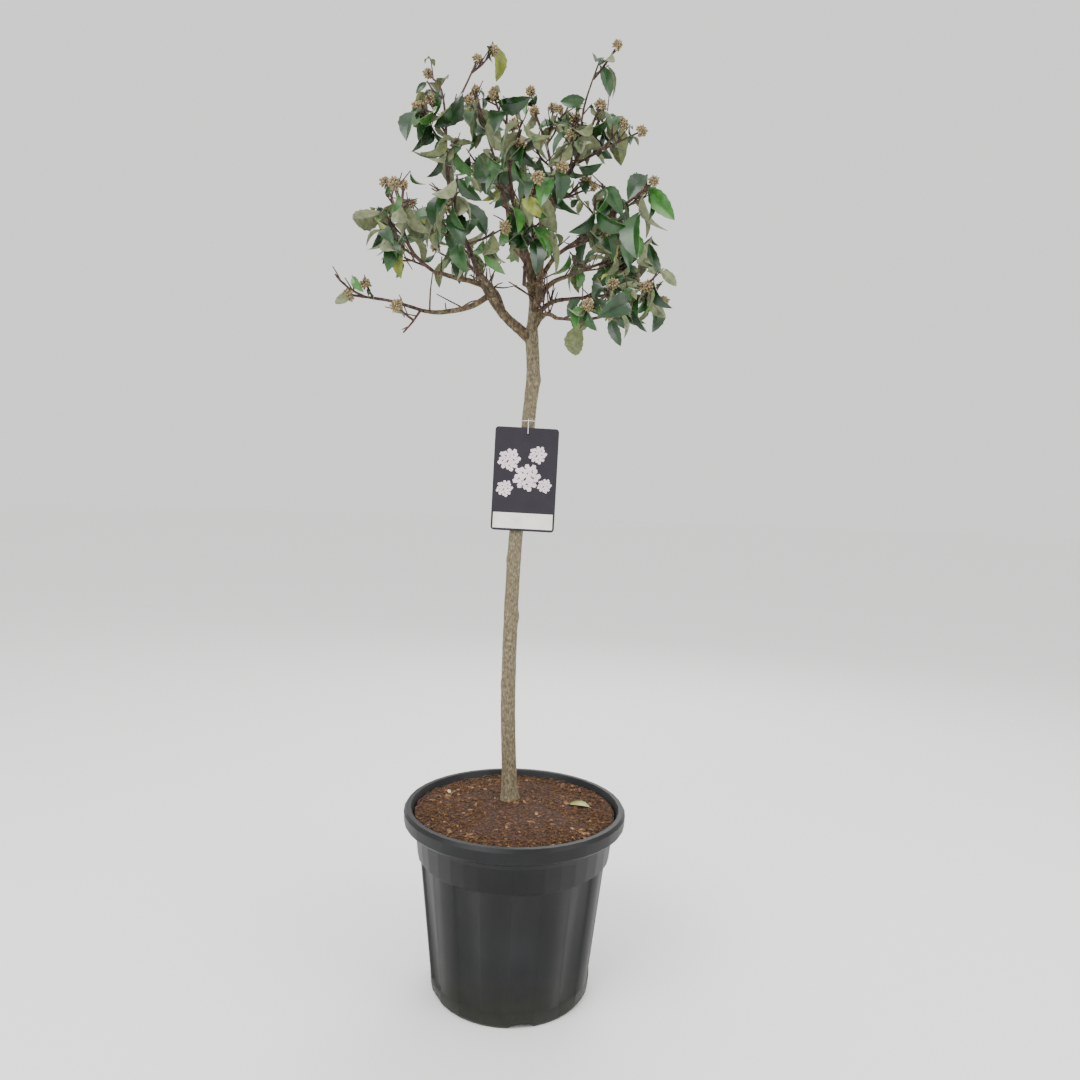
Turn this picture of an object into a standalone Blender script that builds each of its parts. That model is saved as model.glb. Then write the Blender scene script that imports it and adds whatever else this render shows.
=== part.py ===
# Potted viburnum: a young viburnum grown as a standard tree, with its hang tag, in a nursery pot.
# Metres, +Z up, the front of the plant towards -Y, +X to the right.
# The origin is the centre of the pot's flat underside.

from collections import namedtuple
from math import cos, exp, pi, radians, sin
import random

import bmesh
import bpy
from mathutils import Matrix, Quaternion, Vector
from mathutils.bvhtree import BVHTree
from mathutils.kdtree import KDTree

UP = Vector((0, 0, 1))
SEAT_GAP = 0.0003             # between two pieces that touch

# Pot: moulded, with a rolled lip, a collar and ten shallow upright bands
POT_HEIGHT = 0.329
POT_FOOT_RADIUS = 0.1435
POT_BODY_RADIUS = 0.1690      # just below the collar
POT_COLLAR_LOW_RADIUS = 0.1735
POT_COLLAR_TOP_RADIUS = 0.1800
POT_RIM_RADIUS = 0.2005
POT_COLLAR_BASE = 0.242       # height of the step under the collar
POT_LIP_BASE = 0.301
POT_LIP_WIDTH = 0.0120
POT_WALL = 0.0030
POT_FLOOR = 0.0120
BAND_COUNT = 10
BAND_FIRST_TURN = -80         # degrees, a little right of the front
BAND_HALF_WIDTH = 8.0         # degrees
BAND_EDGE = 1.0               # degrees
BAND_DEPTH = 0.0035
BAND_BASE = 0.026
NOTCH_COUNT = 5
NOTCH_WIDTH = 0.046
NOTCH_HEIGHT = 0.0085
NOTCH_REACH = 0.014           # inwards from the foot's edge

# Soil: coir, filled to just under the lip, flat where the trunk stands
SOIL_SEAT = 0.3200
SOIL_EDGE = 0.3165
SOIL_COLUMNS = 36
SOIL_UNEVEN = 0.0015
SOIL_RINGS = ((0.985, 0.0, 0.0), (0.72, 0.003, 0.0), (0.42, 0.004, 0.5))    # share of the edge, lift, shift
SEAT_RADIUS = 0.024

# Trunk: a bare stem with a slight lean, its foot behind the pot's middle
TRUNK_Y = 0.050
TRUNK_LENGTH = 0.936
TRUNK_SIDES = 12
TRUNK_STEPS = 30
TRUNK_BENDS = {0.0: -0.0125, 0.20: -0.0205, 0.48: -0.0165, 0.74: 0.0030,
               0.80: 0.0066, 0.87: 0.0025, 0.936: 0.0045}    # height above the soil: x
TRUNK_FOOT_RADIUS = 0.0140
TRUNK_FORK_RADIUS = 0.0122
TRUNK_TIP_RADIUS = 0.0095
FORK_HEIGHT = 0.86
FLARE = 0.0055
FLARE_HEIGHT = 0.016
Knot = namedtuple("Knot", "height turn swell spread")
KNOTS = (Knot(0.345, -15, 0.0026, 0.011), Knot(0.215, 175, 0.0012, 0.010),
         Knot(0.452, 200, 0.0013, 0.009), Knot(0.640, -60, 0.0010, 0.010),
         Knot(0.785, -10, 0.0030, 0.012), Knot(0.762, 190, 0.0012, 0.010),
         Knot(0.868, 200, 0.0040, 0.013))

# Limbs: at is the part of the parent's length where one leaves, heading its compass turn from +X
# towards the back, rise its slope; bow bends it across its chord
Bough = namedtuple("Bough", "parent at heading rise length bow base tip")
BOUGHS = {
    "bough_center": Bough("trunk", 1.000, 234, 66, 0.105, 0.002, 0.0080, 0.0048),
    "bough_left": Bough("trunk", 0.915, 195, 50, 0.177, -0.015, 0.0105, 0.0050),
    "bough_back_center": Bough("trunk", 0.975, 63, 72, 0.145, 0.026, 0.0070, 0.0042),
    "bough_upper_right": Bough("trunk", 0.965, 293, 83, 0.177, -0.024, 0.0072, 0.0042),
    "bough_right": Bough("trunk", 0.950, 333, 70, 0.125, 0.014, 0.0062, 0.0038),
    "bough_low_right": Bough("trunk", 0.935, 335, 41, 0.079, 0.016, 0.0055, 0.0036),
    "bough_front_right": Bough("trunk", 0.925, 305, 15, 0.076, 0.021, 0.0050, 0.0034),
    "bough_back_right": Bough("trunk", 0.955, 46, 48, 0.136, 0.019, 0.0060, 0.0038),
    "bough_back": Bough("trunk", 0.945, 102, 56, 0.146, 0.033, 0.0062, 0.0040),
    "bough_front": Bough("trunk", 0.940, 256, 43, 0.091, 0.032, 0.0056, 0.0036),
    "bough_low_left": Bough("bough_left", 0.62, 204, -20, 0.130, -0.012, 0.0056, 0.0034),
    "bough_left_level": Bough("bough_left", 0.72, 215, 2, 0.099, 0.002, 0.0052, 0.0034),
    "bough_back_left": Bough("bough_left", 0.40, 128, 44, 0.142, 0.012, 0.0058, 0.0038),
    "bough_front_left": Bough("bough_left", 0.48, 248, 23, 0.092, 0.010, 0.0054, 0.0034),
    "bough_center_left": Bough("bough_center", 0.55, 152, 65, 0.112, -0.007, 0.0052, 0.0036),
}
BOUGH_SIDES = 7
BOUGH_STEPS = 6

# Masses: each grows on from one bough's tip
Mass = namedtuple("Mass", "bough heading rise length bow shoots leaf")
MASSES = {
    "foliage_low_left": Mass("bough_low_left", 191, 8, 0.123, 0.005, 1, 0.040),
    "foliage_left": Mass("bough_left_level", 230, 57, 0.142, -0.036, 5, 0.066),
    "foliage_left_high": Mass("bough_left", 226, 72, 0.232, -0.023, 6, 0.060),
    "foliage_center_left": Mass("bough_center_left", 167, 73, 0.228, -0.001, 6, 0.064),
    "foliage_center": Mass("bough_center", 245, 69, 0.199, -0.018, 6, 0.066),
    "foliage_back_center": Mass("bough_back_center", 180, 83, 0.235, 0.019, 6, 0.064),
    "foliage_upper_right": Mass("bough_upper_right", 328, 55, 0.196, -0.009, 5, 0.064),
    "foliage_right": Mass("bough_right", 321, 23, 0.191, -0.001, 6, 0.066),
    "foliage_low_right": Mass("bough_low_right", 343, -3, 0.155, 0.005, 5, 0.060),
    "foliage_front_right": Mass("bough_front_right", 306, -8, 0.137, -0.004, 4, 0.060),
    "foliage_back_right": Mass("bough_back_right", 27, 26, 0.181, 0.001, 6, 0.064),
    "foliage_back": Mass("bough_back", 98, 63, 0.271, 0.010, 7, 0.064),
    "foliage_back_left": Mass("bough_back_left", 135, 45, 0.206, -0.002, 6, 0.064),
    "foliage_front": Mass("bough_front", 280, 49, 0.178, 0.037, 5, 0.064),
    "foliage_front_left": Mass("bough_front_left", 247, 34, 0.137, 0.010, 5, 0.064),
}

# Leading shoots, which carry the crown's outline; end is what the tip bears
Shoot = namedtuple("Shoot", "at heading rise length bow end leaf")
LEADERS = {
    "foliage_low_left": (Shoot(0.04, 229, -51, 0.059, -0.002, "leaves", 0.056),
                         Shoot(0.72, 239, 46, 0.021, 0.0, "buds", 0.018)),
    "foliage_left": (Shoot(0.62, 142, 60, 0.093, 0.0, "buds", 0.024),
                     Shoot(0.10, 162, 22, 0.051, 0.0, "bare", 0.03),
                     Shoot(0.70, 138, 23, 0.067, 0.0, "bare", 0.03)),
    "foliage_left_high": (Shoot(0.99, 350, 62, 0.108, -0.003, "buds", 0.080),
                          Shoot(0.70, 171, 60, 0.107, 0.006, "buds", 0.030),
                          Shoot(0.97, 127, 59, 0.127, 0.018, "buds", 0.040)),
    "foliage_upper_right": (Shoot(0.62, 314, 74, 0.149, 0.012, "leaves", 0.052),
                            Shoot(0.50, 332, 16, 0.125, 0.001, "buds", 0.022),
                            Shoot(0.45, 66, 80, 0.125, 0.0, "buds", 0.030)),
    "foliage_back_center": (Shoot(0.75, 313, 78, 0.063, 0.0, "buds", 0.030),),
    "foliage_center": (Shoot(0.55, 295, 53, 0.082, 0.0, "leaves", 0.060),),
    "foliage_right": (Shoot(0.93, 318, -49, 0.030, 0.0, "leaves", 0.100),
                      Shoot(0.45, 347, -6, 0.079, 0.009, "leaves", 0.045)),
    "foliage_low_right": (Shoot(0.35, 292, -35, 0.090, 0.0, "leaves", 0.050),),
    "foliage_back_right": (Shoot(0.50, 338, -28, 0.086, 0.0, "leaves", 0.050),),
}

# Twigs and what they bear
GOLDEN_TURN = 137.5           # degrees from one shoot to the next round a stem
TWIG_SIDES = 3
TWIG_STEPS = 2
STEM_SIDES = 5
STEM_STEPS = 4
STEM_TIP_RADIUS = 0.0021
SHOOT_RADIUS = 0.0021
SHOOT_TIP_RADIUS = 0.0014
SHOOT_LENGTH = 0.088
WOBBLE = 0.014                # of a limb's length
TWIGS_PER_SHOOT = 1
BUD_SHARE = 0.30              # of the seeded tips
LEAF_SHARE = 0.66             # of the places for a leaf that bear one
LEAF_WIDTH = 0.44             # of its length
LEAF_ROOT = 0.0006            # half its thickness inside the twig
LEAF_ARCH = 0.030             # of its length, which is also its thickness at the middle
LEAF_FOLD = 0.070
LEAF_DROOP = (0.6, 2.2)       # against one part outwards
BUD_RADIUS = 0.0125
SPACE_MARGIN = 0.005          # between one mass's space and the next, counted from their stems
LIMB_MARGIN = 0.0010

# Hang tag: a printed card on a thin loop round the trunk
TAG_WIDTH = 0.117
TAG_HEIGHT = 0.190
TAG_THICKNESS = 0.0012
TAG_CORNER = 0.006
TAG_TOP = 1.0155
TAG_TURN = -1.2               # degrees
TAG_HOLE_RADIUS = 0.0026
TAG_HOLE_DROP = 0.0120        # below the card's top edge
TAG_CLEARANCE = 0.0030        # from the trunk's skin to the card's back
LOOP_HEIGHT = 1.0285
LOOP_RADIUS = 0.0007
HANGER_GAP = 0.0005           # from the hanger's thread to the card

# Finish of each sub-part: colour (linear RGB), roughness, metallic
FINISHES = {
    "pot_plastic": ((0.010, 0.012, 0.015), 0.55, 0.0),
    "coir": ((0.105, 0.042, 0.014), 0.95, 0.0),
    "bark": ((0.170, 0.130, 0.080), 0.85, 0.0),
    "bough_bark": ((0.090, 0.056, 0.032), 0.80, 0.0),
    "leaf": ((0.045, 0.115, 0.040), 0.45, 0.0),
    "card": ((0.020, 0.018, 0.030), 0.35, 0.0),
    "loop": ((0.700, 0.690, 0.650), 0.50, 0.0),
}


# Building blocks

def finish(name):
    material = bpy.data.materials.get(name)
    if material is None:
        color, roughness, metallic = FINISHES[name]
        material = bpy.data.materials.new(name)
        material.use_nodes = True
        material.diffuse_color = (*color, 1)
        shader = material.node_tree.nodes["Principled BSDF"]
        shader.inputs["Base Color"].default_value = (*color, 1)
        shader.inputs["Roughness"].default_value = roughness
        shader.inputs["Metallic"].default_value = metallic
    return material


def add_object(name, bm, finish_name=None, smooth=False):
    bmesh.ops.recalc_face_normals(bm, faces=bm.faces)
    mesh = bpy.data.meshes.new(name)
    bm.to_mesh(mesh)
    bm.free()
    if smooth:
        mesh.shade_smooth()
        mesh.set_sharp_from_angle(angle=radians(40))
    if finish_name:
        mesh.materials.append(finish(finish_name))
    item = bpy.data.objects.new(name, mesh)
    bpy.context.scene.collection.objects.link(item)
    return item


def loft(rings, closed=False):
    """A closed solid through rings of points, capped at both ends or running round into itself."""
    bm = bmesh.new()
    loops = [[bm.verts.new(point) for point in ring] for ring in rings]
    pairs = list(zip(loops, loops[1:]))
    if closed:
        pairs.append((loops[-1], loops[0]))
    else:
        bm.faces.new(loops[0])
        bm.faces.new(loops[-1])
    for lower, upper in pairs:
        for i in range(len(lower)):
            bm.faces.new((lower[i - 1], lower[i], upper[i], upper[i - 1]))
    return bm


def circle(radius, height, columns):
    return [Vector((radius * cos(turn), radius * sin(turn), height)) for turn in columns]


def even_turns(count):
    return [2 * pi * i / count for i in range(count)]


def apply_boolean(target, operation, cutter=None, collection=None, solver="EXACT"):
    modifier = target.modifiers.new(operation.title(), "BOOLEAN")
    modifier.operation = operation
    modifier.solver = solver
    if cutter:
        modifier.object = cutter
    else:
        modifier.operand_type = "COLLECTION"
        modifier.collection = collection
    bpy.context.view_layer.update()
    evaluated = target.evaluated_get(bpy.context.evaluated_depsgraph_get())
    mesh = bpy.data.meshes.new_from_object(evaluated)
    target.modifiers.clear()
    target.data = mesh


def keep_main_body(item):
    """Drop loose scraps and the walls of sealed hollows: only the largest island stays."""
    bm = bmesh.new()
    bm.from_mesh(item.data)
    bmesh.ops.remove_doubles(bm, verts=bm.verts, dist=2e-6)
    bmesh.ops.dissolve_degenerate(bm, edges=bm.edges, dist=2e-6)
    unseen = set(bm.faces)
    islands = []
    while unseen:
        island = set()
        front = [next(iter(unseen))]
        while front:
            face = front.pop()
            if face not in island:
                island.add(face)
                front.extend(other for edge in face.edges for other in edge.link_faces)
        unseen -= island
        islands.append(island)
    main = max(islands, key=lambda island: sum(face.calc_area() for face in island))
    bmesh.ops.delete(bm, geom=[face for face in bm.faces if face not in main], context="FACES")
    bmesh.ops.delete(bm, geom=[vert for vert in bm.verts if not vert.link_faces], context="VERTS")
    bm.to_mesh(item.data)
    bm.free()


# Paths

def direction(heading, rise):
    flat = Vector((cos(radians(heading)), sin(radians(heading)), 0))
    return flat * cos(radians(rise)) + UP * sin(radians(rise))


def limb_path(name, start, heading, rise, length, bow, steps):
    """Points from a limb's root to its tip: a bowed chord with a slight seeded wobble."""
    rng = random.Random(name)
    chord = direction(heading, rise) * length
    across = direction(heading, rise + 90)
    path = []
    for step in range(steps + 1):
        t = step / steps
        stray = Vector([rng.uniform(-1, 1) for axis in range(3)]) * (WOBBLE * length * sin(pi * t))
        path.append(start + chord * t + across * (bow * 4 * t * (1 - t)) + stray)
    return path


def point_along(path, at):
    place = at * (len(path) - 1)
    step = min(int(place), len(path) - 2)
    return path[step].lerp(path[step + 1], place - step)


def tangent_along(path, at):
    step = min(int(at * (len(path) - 1)), len(path) - 2)
    return (path[step + 1] - path[step]).normalized()


def tube(path, radii, sides, first_axis=None, grow=0.0):
    """A tapering limb; grow widens and lengthens it, for clearances."""
    tangents = [(b - a).normalized() for a, b in zip(path, path[1:])]
    axes = [first_axis or tangents[0]]
    axes += [(a + b).normalized() for a, b in zip(tangents, tangents[1:])] + [tangents[-1]]
    turn = UP.rotation_difference(axes[0])
    rings = []
    for step, (point, axis) in enumerate(zip(path, axes)):
        if step:
            turn = axes[step - 1].rotation_difference(axis) @ turn
        end = {0: -grow, len(path) - 1: grow}.get(step, 0.0)
        ring = circle(radii[step] + grow, end, even_turns(sides))
        rings.append([point + turn @ spoke for spoke in ring])
    return loft(rings)


def taper(first, last, steps):
    return [first + (last - first) * step / steps for step in range(steps + 1)]


# Pot and soil

def band_turns():
    """Columns round the pot, closer together at the edges of each band."""
    offsets = (-BAND_HALF_WIDTH - BAND_EDGE, -BAND_HALF_WIDTH, 0, BAND_HALF_WIDTH,
               BAND_HALF_WIDTH + BAND_EDGE, 180 / BAND_COUNT)
    return [(radians(BAND_FIRST_TURN + 360 * band / BAND_COUNT + offset), abs(offset) <= BAND_HALF_WIDTH)
            for band in range(BAND_COUNT) for offset in offsets]


def pot_radius(height):
    """Outer radius of the plain body under the collar."""
    share = (height - 0.02) / (POT_COLLAR_BASE - 0.02)
    return POT_FOOT_RADIUS + 0.001 + (POT_BODY_RADIUS - POT_FOOT_RADIUS - 0.001) * share


def pot_ring(radius, height, depth=0.0):
    return [Vector(((radius - depth * inset) * cos(turn), (radius - depth * inset) * sin(turn), height))
            for turn, inset in band_turns()]


def make_pot():
    lip = POT_RIM_RADIUS
    inner_lip = lip - POT_LIP_WIDTH
    wall = POT_WALL
    band_top = POT_COLLAR_BASE - 0.004
    outer = [(POT_FOOT_RADIUS - 0.004, 0.0, 0), (POT_FOOT_RADIUS, 0.006, 0),
             (pot_radius(BAND_BASE), BAND_BASE, 0), (pot_radius(BAND_BASE), BAND_BASE + 0.003, BAND_DEPTH),
             (pot_radius(band_top), band_top, BAND_DEPTH), (POT_BODY_RADIUS, POT_COLLAR_BASE, 0),
             (POT_COLLAR_LOW_RADIUS, POT_COLLAR_BASE + 0.002, 0), (POT_COLLAR_TOP_RADIUS, POT_LIP_BASE, 0),
             (lip - 0.004, POT_LIP_BASE, 0), (lip - 0.001, POT_LIP_BASE + 0.004, 0),
             (lip, POT_HEIGHT - 0.006, 0), (lip - 0.004, POT_HEIGHT, 0)]
    inner = [(inner_lip, POT_HEIGHT, 0), (inner_lip - 0.003, POT_HEIGHT - 0.004, 0),
             (POT_COLLAR_LOW_RADIUS - wall, POT_COLLAR_BASE + 0.002, 0),
             (POT_BODY_RADIUS - wall, POT_COLLAR_BASE - 0.001, BAND_DEPTH),
             (pot_radius(BAND_BASE) - wall, POT_FLOOR, BAND_DEPTH)]
    pot = add_object("pot", loft([pot_ring(*row) for row in outer + inner]), "pot_plastic", smooth=True)
    for number in range(NOTCH_COUNT):
        turn = radians(BAND_FIRST_TURN + 360 * number / NOTCH_COUNT)
        apply_boolean(pot, "DIFFERENCE", notch_cutter(turn))
    for cutter in [item for item in bpy.data.objects if item.name.startswith("notch_cutter")]:
        bpy.data.objects.remove(cutter)


def notch_cutter(turn):
    """An arched drainage notch, lying radially across the foot's edge."""
    arch = [(NOTCH_WIDTH / 2 * cos(pi * i / 4), NOTCH_HEIGHT * sin(pi * i / 4) ** 0.6 if 0 < i < 4 else 0)
            for i in range(5)]
    arch += [(-NOTCH_WIDTH / 2, -0.01), (NOTCH_WIDTH / 2, -0.01)]
    place = Matrix.Rotation(turn, 4, "Z")
    ends = (POT_FOOT_RADIUS - NOTCH_REACH, POT_FOOT_RADIUS + 0.02)
    cutter = add_object("notch_cutter", loft([[place @ Vector((reach, x, z)) for x, z in arch]
                                              for reach in ends]))
    cutter.hide_render = True
    cutter.display_type = "WIRE"
    return cutter


def make_soil():
    """The root ball: it fills the pot, with an uneven top and a flat seat for the trunk."""
    rng = random.Random("soil")
    turns = even_turns(SOIL_COLUMNS)
    wall = POT_WALL + SEAT_GAP
    side = [(pot_radius(BAND_BASE) - wall - BAND_DEPTH - 0.001, POT_FLOOR + SEAT_GAP),
            (POT_BODY_RADIUS - wall - BAND_DEPTH - 0.002, POT_COLLAR_BASE - 0.0018),
            (POT_COLLAR_LOW_RADIUS - wall - 0.001, POT_COLLAR_BASE + 0.003),
            (POT_RIM_RADIUS - POT_LIP_WIDTH - 0.0065, SOIL_EDGE - 0.004)]
    rings = [circle(radius, height, turns) for radius, height in side]
    trunk_foot = Vector((TRUNK_BENDS[0.0], TRUNK_Y, 0))
    for share, lift, shift in SOIL_RINGS:
        ring = circle(side[-1][0] * share, SOIL_EDGE + lift, turns)
        rings.append([point + trunk_foot * shift + UP * rng.uniform(-SOIL_UNEVEN, SOIL_UNEVEN)
                      for point in ring])
    rings.append([point + trunk_foot for point in circle(SEAT_RADIUS, SOIL_SEAT, turns)])
    return add_object("soil", loft(rings), "coir", smooth=True)


# Trunk and boughs

def trunk_x(height):
    """The trunk's sideways place, a smooth curve through its bends."""
    heights = list(TRUNK_BENDS)
    low = max(i for i, value in enumerate(heights[:-1]) if value <= height + 1e-9)
    share = (height - heights[low]) / (heights[low + 1] - heights[low])
    around = [TRUNK_BENDS[heights[min(max(i, 0), len(heights) - 1)]] for i in range(low - 1, low + 3)]
    a, b, c, d = around
    return 0.5 * (2 * b + (c - a) * share + (2 * a - 5 * b + 4 * c - d) * share ** 2
                  + (3 * b - a - 3 * c + d) * share ** 3)


def trunk_radius(height, turn):
    if height < FORK_HEIGHT:
        radius = TRUNK_FOOT_RADIUS + (TRUNK_FORK_RADIUS - TRUNK_FOOT_RADIUS) * height / FORK_HEIGHT
    else:
        share = min((height - FORK_HEIGHT) / 0.025, 1.0)
        radius = TRUNK_FORK_RADIUS + (TRUNK_TIP_RADIUS - TRUNK_FORK_RADIUS) * share
    radius += FLARE * exp(-height / FLARE_HEIGHT) * (1 + 0.35 * cos(3 * turn))
    for knot in KNOTS:
        facing = max(0.0, cos(turn - radians(knot.turn)))
        radius += knot.swell * facing ** 2 * exp(-((height - knot.height) / knot.spread) ** 2)
    return radius


def trunk_path(steps=TRUNK_STEPS):
    foot = SOIL_SEAT + SEAT_GAP
    return [Vector((trunk_x(TRUNK_LENGTH * i / steps), TRUNK_Y, foot + TRUNK_LENGTH * i / steps))
            for i in range(steps + 1)]


def trunk_solid(grow=0.0):
    turns = even_turns(TRUNK_SIDES)
    rings = []
    for step, point in enumerate(trunk_path()):
        height = TRUNK_LENGTH * step / TRUNK_STEPS
        end = {0: -grow, TRUNK_STEPS: grow}.get(step, 0.0)
        rings.append([point + Vector(((trunk_radius(height, turn) + grow) * cos(turn),
                                      (trunk_radius(height, turn) + grow) * sin(turn), end))
                      for turn in turns])
    return loft(rings)


def lay_out_limbs():
    """Every limb's path by name, each rooted in its parent's axis or on the trunk's tip."""
    paths = {"trunk": trunk_path()}
    for name, bough in BOUGHS.items():
        parent = paths[bough.parent]
        root = point_along(parent, bough.at)
        if bough.at == 1.0:
            root = root + UP * SEAT_GAP
        paths[name] = limb_path(name, root, bough.heading, bough.rise, bough.length, bough.bow, BOUGH_STEPS)
    return paths


def bough_solid(name, paths, grow=0.0):
    bough = BOUGHS[name]
    first_axis = UP if bough.at == 1.0 else None
    radii = taper(bough.base, bough.tip, BOUGH_STEPS)
    return tube(paths[name], radii, BOUGH_SIDES, first_axis, grow)


def make_boughs(paths):
    """Each bough is cut clear of its parent and of the boughs that leave there before it."""
    for number, (name, bough) in enumerate(BOUGHS.items()):
        item = add_object(name, bough_solid(name, paths), "bough_bark", smooth=True)
        earlier = [other for other in list(BOUGHS)[:number] if BOUGHS[other].parent == bough.parent]
        for other in [bough.parent] + earlier:
            if bough.at == 1.0:
                continue
            shape = trunk_solid(SEAT_GAP) if other == "trunk" else bough_solid(other, paths, SEAT_GAP)
            cutter = add_object("clearance", shape)
            apply_boolean(item, "DIFFERENCE", cutter)
            bpy.data.objects.remove(cutter)
        keep_main_body(item)


# Masses of foliage

def stem_path(name, paths):
    mass = MASSES[name]
    bough_path = paths[mass.bough]
    root = bough_path[-1] + tangent_along(bough_path, 1.0) * SEAT_GAP
    return limb_path(name, root, mass.heading, mass.rise, mass.length, mass.bow, STEM_STEPS)


def seeded_shoot(name, number, count, heading, rise, length, leaf):
    """One shoot of a seeded set: flat stems bear theirs to both sides, upright ones all round."""
    rng = random.Random(f"{name}-{number}")
    at = 0.08 + 0.90 * (number + rng.uniform(0.1, 0.9)) / count
    swing = (GOLDEN_TURN * number + rng.uniform(-20, 20) + 180) % 360 - 180
    upright = max(0.0, sin(radians(rise)))
    reach = 0.42 + 0.58 * upright
    slope = rise * 0.35 + rng.uniform(-8, 42)
    scale = rng.uniform(0.65, 1.15) * (1.05 - 0.35 * at)
    end = "buds" if rng.random() < BUD_SHARE else "leaves"
    return Shoot(at, heading + swing * reach, slope, length * scale, -0.04 * length,
                 end, leaf * rng.uniform(0.75, 1.15))


def leaf_solid(root, along, width_share, length, face):
    """Eight faces: a pointed blade, arched along its rib and folded a little upwards."""
    along = along.normalized()
    across = along.cross(face).normalized()
    face = across.cross(along).normalized()
    half = length * width_share / 2
    bm = bmesh.new()
    top = bm.verts.new(root + face * LEAF_ROOT)
    under = bm.verts.new(root - face * LEAF_ROOT)
    tip = bm.verts.new(root + along * length - face * length * LEAF_ARCH * 0.5)
    rib = bm.verts.new(root + along * length * 0.46 + face * length * LEAF_ARCH)
    left, right = (bm.verts.new(root + along * length * 0.43 + across * half * side
                                + face * length * LEAF_FOLD) for side in (-1, 1))
    for corners in ((top, left, rib), (left, tip, rib), (top, rib, right), (rib, tip, right),
                    (under, tip, left), (under, right, tip), (top, under, left), (top, right, under)):
        bm.faces.new(corners)
    return bm


def bud_solid(name, place, axis):
    """A knobbly head of flower buds, a little flattened along its stalk."""
    bm = bmesh.new()
    bmesh.ops.create_icosphere(bm, subdivisions=1, radius=BUD_RADIUS)
    rng = random.Random(name)
    for vert in bm.verts:
        vert.co *= rng.uniform(0.82, 1.12)
    turn = UP.rotation_difference(axis).to_matrix().to_4x4()
    flatten = Matrix.Diagonal((1, 1, 0.8, 1))
    bmesh.ops.transform(bm, matrix=Matrix.Translation(place) @ turn @ flatten, verts=bm.verts)
    return bm


def leaf_pair(name, path, at, turn, length):
    """Two leaves opposite each other at one node of a twig, drooping outwards."""
    rng = random.Random(name)
    root = point_along(path, at)
    axis = tangent_along(path, at)
    level = axis.cross(UP)
    side = (level if level.length > 0.05 else Vector((1, 0, 0))).normalized()
    side = Quaternion(axis, radians(turn)) @ side
    for sign in (-1, 1):
        droop = rng.uniform(*LEAF_DROOP)
        along = axis * rng.uniform(0.2, 0.7) + side * sign - UP * droop
        face = UP + side * sign * 0.35 + Vector((rng.uniform(-0.4, 0.4), rng.uniform(-0.4, 0.4), 0))
        size = length * rng.uniform(0.85, 1.15)
        wanted = rng.random() < LEAF_SHARE
        if wanted:
            yield leaf_solid(root, along, LEAF_WIDTH * rng.uniform(0.85, 1.12), size, face)


class Space:
    """What each mass has to keep clear of: the other masses' stems, the limbs and itself."""

    def __init__(self, paths):
        self.guides = {}
        for name in MASSES:
            self.guides[name] = self.guide(name, paths)
        shapes = [trunk_solid(LIMB_MARGIN)] + [bough_solid(name, paths, LIMB_MARGIN) for name in BOUGHS]
        self.limbs = []
        for bm in shapes:
            self.limbs.append(BVHTree.FromBMesh(bm))
            bm.free()
        self.grown = []

    def guide(self, name, paths):
        """The mass's stem and leading shoots as a tree of close points."""
        stem = stem_path(name, paths)
        lines = [stem]
        for number, shoot in enumerate(LEADERS.get(name, ())):
            lines.append(shoot_path(f"{name}-leader-{number}", stem, shoot))
        points = [point_along(line, i / 24) for line in lines for i in range(25)]
        tree = KDTree(len(points))
        for i, point in enumerate(points):
            tree.insert(point, i)
        tree.balance()
        return tree

    def allows(self, mass, bm, key, touching):
        """Whether a piece stays in its mass's space, off the limbs and off all but what it joins."""
        points = [vert.co for vert in bm.verts]
        points += [(edge.verts[0].co + edge.verts[1].co) / 2 for edge in bm.edges]
        for point in points:
            own = self.guides[mass].find(point)[2] + SPACE_MARGIN
            if any(tree.find(point)[2] < own for name, tree in self.guides.items() if name != mass):
                return False
        shape = BVHTree.FromBMesh(bm)
        if any(limb.overlap(shape) for limb in self.limbs):
            return False
        if any(tree.overlap(shape) for other, tree in self.grown if other not in touching):
            return False
        self.grown.append((key, shape))
        return True


def shoot_path(name, parent, shoot):
    root = point_along(parent, shoot.at)
    return limb_path(name, root, shoot.heading, shoot.rise, shoot.length, shoot.bow, TWIG_STEPS)


def grow_shoot(mass, name, parent_name, parent, shoot, space, pieces, twigs):
    """One shoot with its side twigs, leaves and buds; whatever has no room is left off."""
    path = shoot_path(name, parent, shoot)
    radii = taper(SHOOT_RADIUS, SHOOT_TIP_RADIUS, TWIG_STEPS)
    bm = tube(path, radii, TWIG_SIDES)
    if not space.allows(mass, bm, name, {parent_name}):
        return
    pieces.append(bm)
    if shoot.length > 0.045:
        for number in range(twigs):
            twig = seeded_shoot(name, number, twigs, shoot.heading, shoot.rise,
                                shoot.length * 0.62, shoot.leaf)
            grow_shoot(mass, f"{name}-{number}", name, path, twig, space, pieces, 0)
    dress(mass, name, path, shoot.end, shoot.leaf, space, pieces)


def dress(mass, name, path, end, leaf, space, pieces):
    """Leaves and buds at a twig's nodes and tip."""
    nodes = {"leaves": ((0.97, 0), (0.60, 90)), "buds": ((0.90, 0), (0.55, 90)), "bare": ()}[end]
    if end == "buds":
        axis = tangent_along(path, 1.0)
        bud = bud_solid(name, path[-1] + axis * BUD_RADIUS * 0.5, axis)
        if space.allows(mass, bud, (name, 0.90), {name}):
            pieces.append(bud)
    for at, turn in nodes:
        spin = turn + random.Random(name + "turn").uniform(-50, 50)
        for blade in leaf_pair(f"{name}-{at}", path, at, spin, leaf):
            if space.allows(mass, blade, (name, at), {name, (name, at)}):
                pieces.append(blade)


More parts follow.
